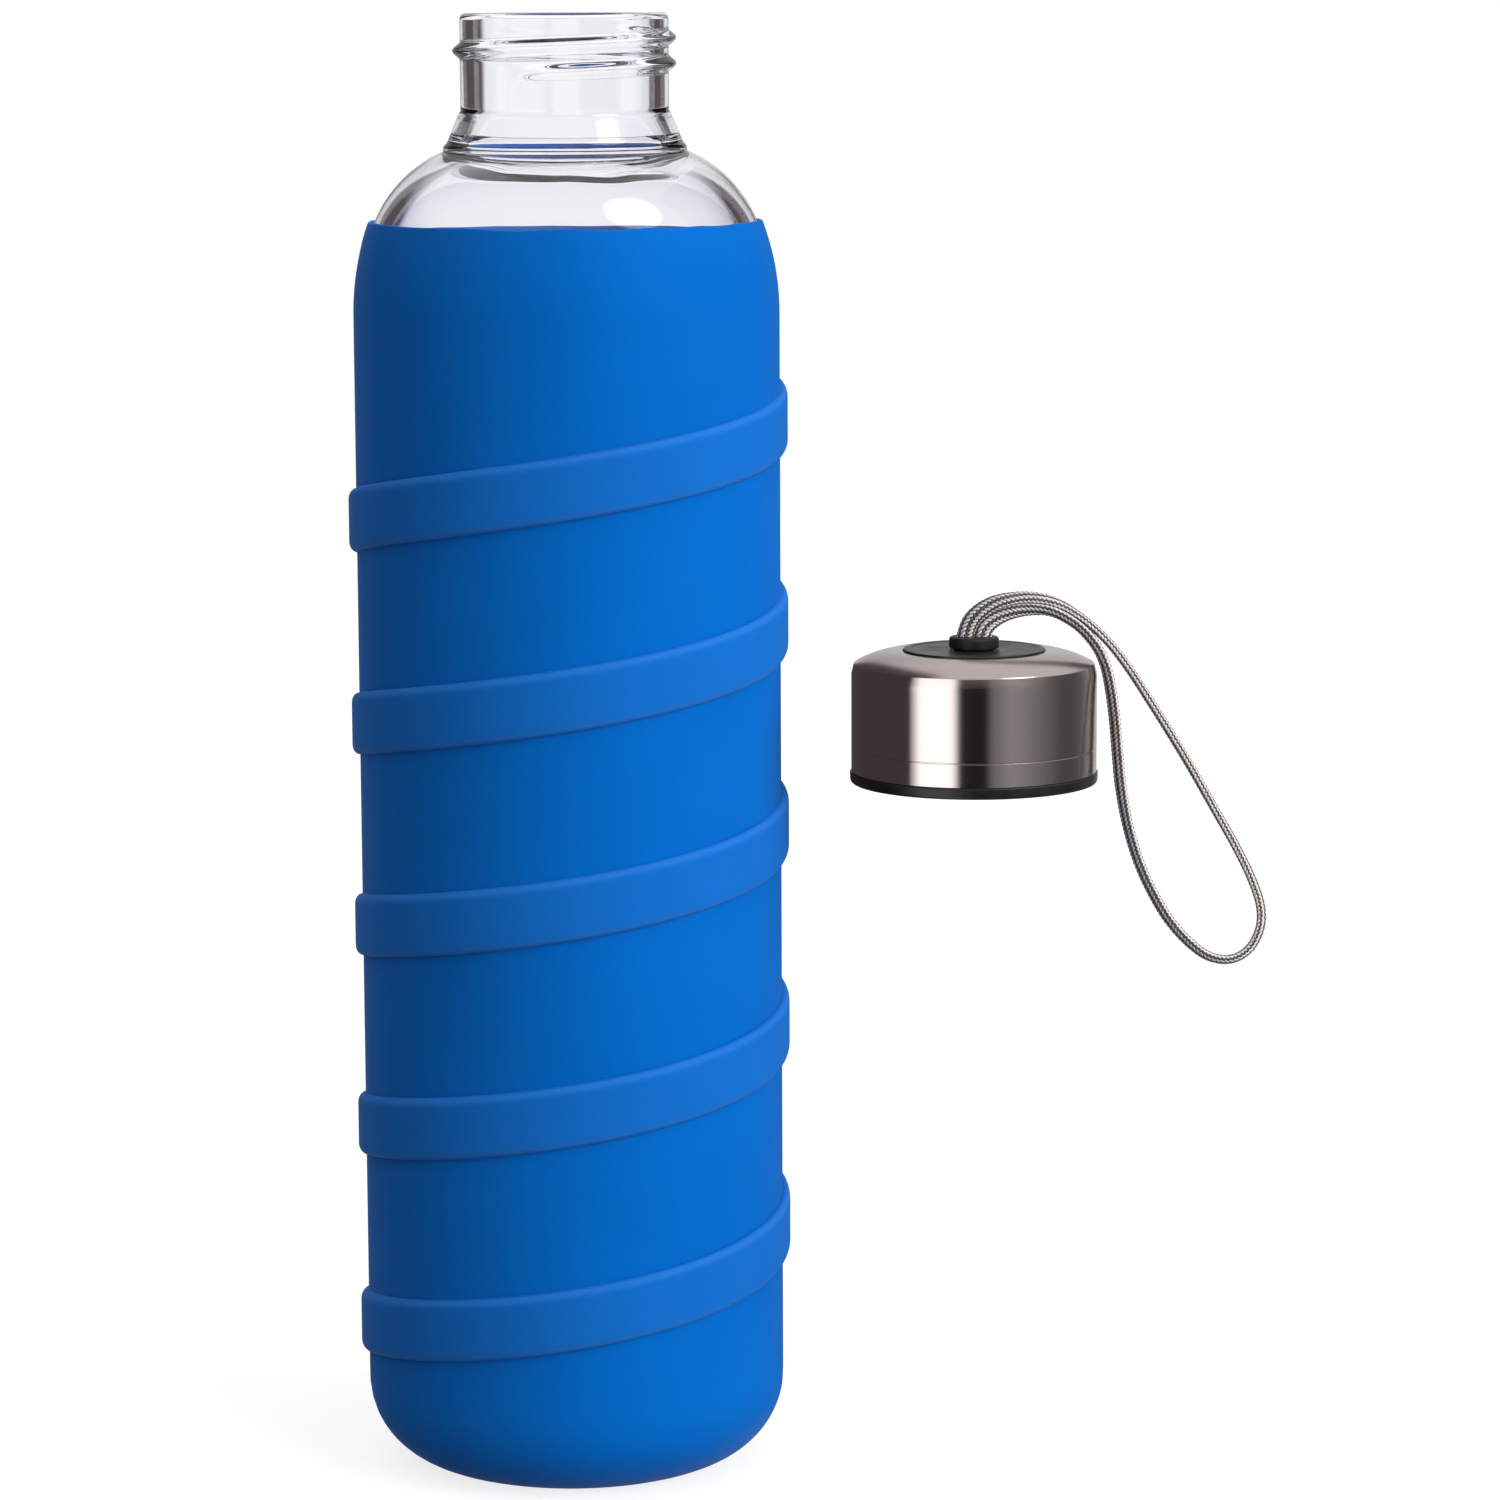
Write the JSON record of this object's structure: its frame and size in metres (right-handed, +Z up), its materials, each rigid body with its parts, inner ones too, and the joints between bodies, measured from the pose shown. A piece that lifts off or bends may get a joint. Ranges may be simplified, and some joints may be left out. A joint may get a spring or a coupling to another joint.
{
  "type": "glass water bottle",
  "caption": "Glass water bottle in a silicone sleeve with a raised spiral band, with its steel screw cap held beside it on a loop of flat braided cord.",
  "frame": {"origin": "centre of the sleeve's flat underside, on the bottle's axis, where the bottle stands", "axes": "+Z up along the bottle's axis out of the mouth, +X from the bottle's axis to the axis of the cap held beside it, -Y towards the front"},
  "size_m": [0.1541, 0.0734, 0.2445],
  "materials": {
    "glass": "clear polished glass",
    "silicone": "matte silicone rubber",
    "steel": "bright satin stainless steel, turned finish",
    "black_plastic": "satin moulded polypropylene",
    "gasket_silicone": "translucent white silicone",
    "black_rubber": "matte moulded rubber",
    "crimp_steel": "plain crimped steel",
    "cord": "flat braid of silver and dark grey yarn"
  },
  "bodies": {
    "bottle": {"glass_bottle": "glass", "silicone_sleeve": "silicone"},
    "strap": {"cord_grommet": "black_rubber", "cord_ferrule": "crimp_steel", "strap_cord": "cord"},
    "cap": {"cap_shell": "steel", "cap_liner": "black_plastic", "cap_gasket": "gasket_silicone", "cap_disc": "black_plastic"}
  },
  "joints": [
    {"name": "cap_lift", "type": "slide", "parent": "bottle", "child": "strap", "axis": [0, 0, 1], "range_m": [0, 0.0063]},
    {"name": "cap_turn", "type": "hinge", "parent": "strap", "child": "cap", "pos_m": [0.06785, 0, 0.116], "axis": [0, 0, 1], "range_deg": [0, 540]}
  ],
  "couplings": [
    {"joint": "cap_lift", "follows": "cap_turn", "m_per_rad": 0.000668}
  ]
}
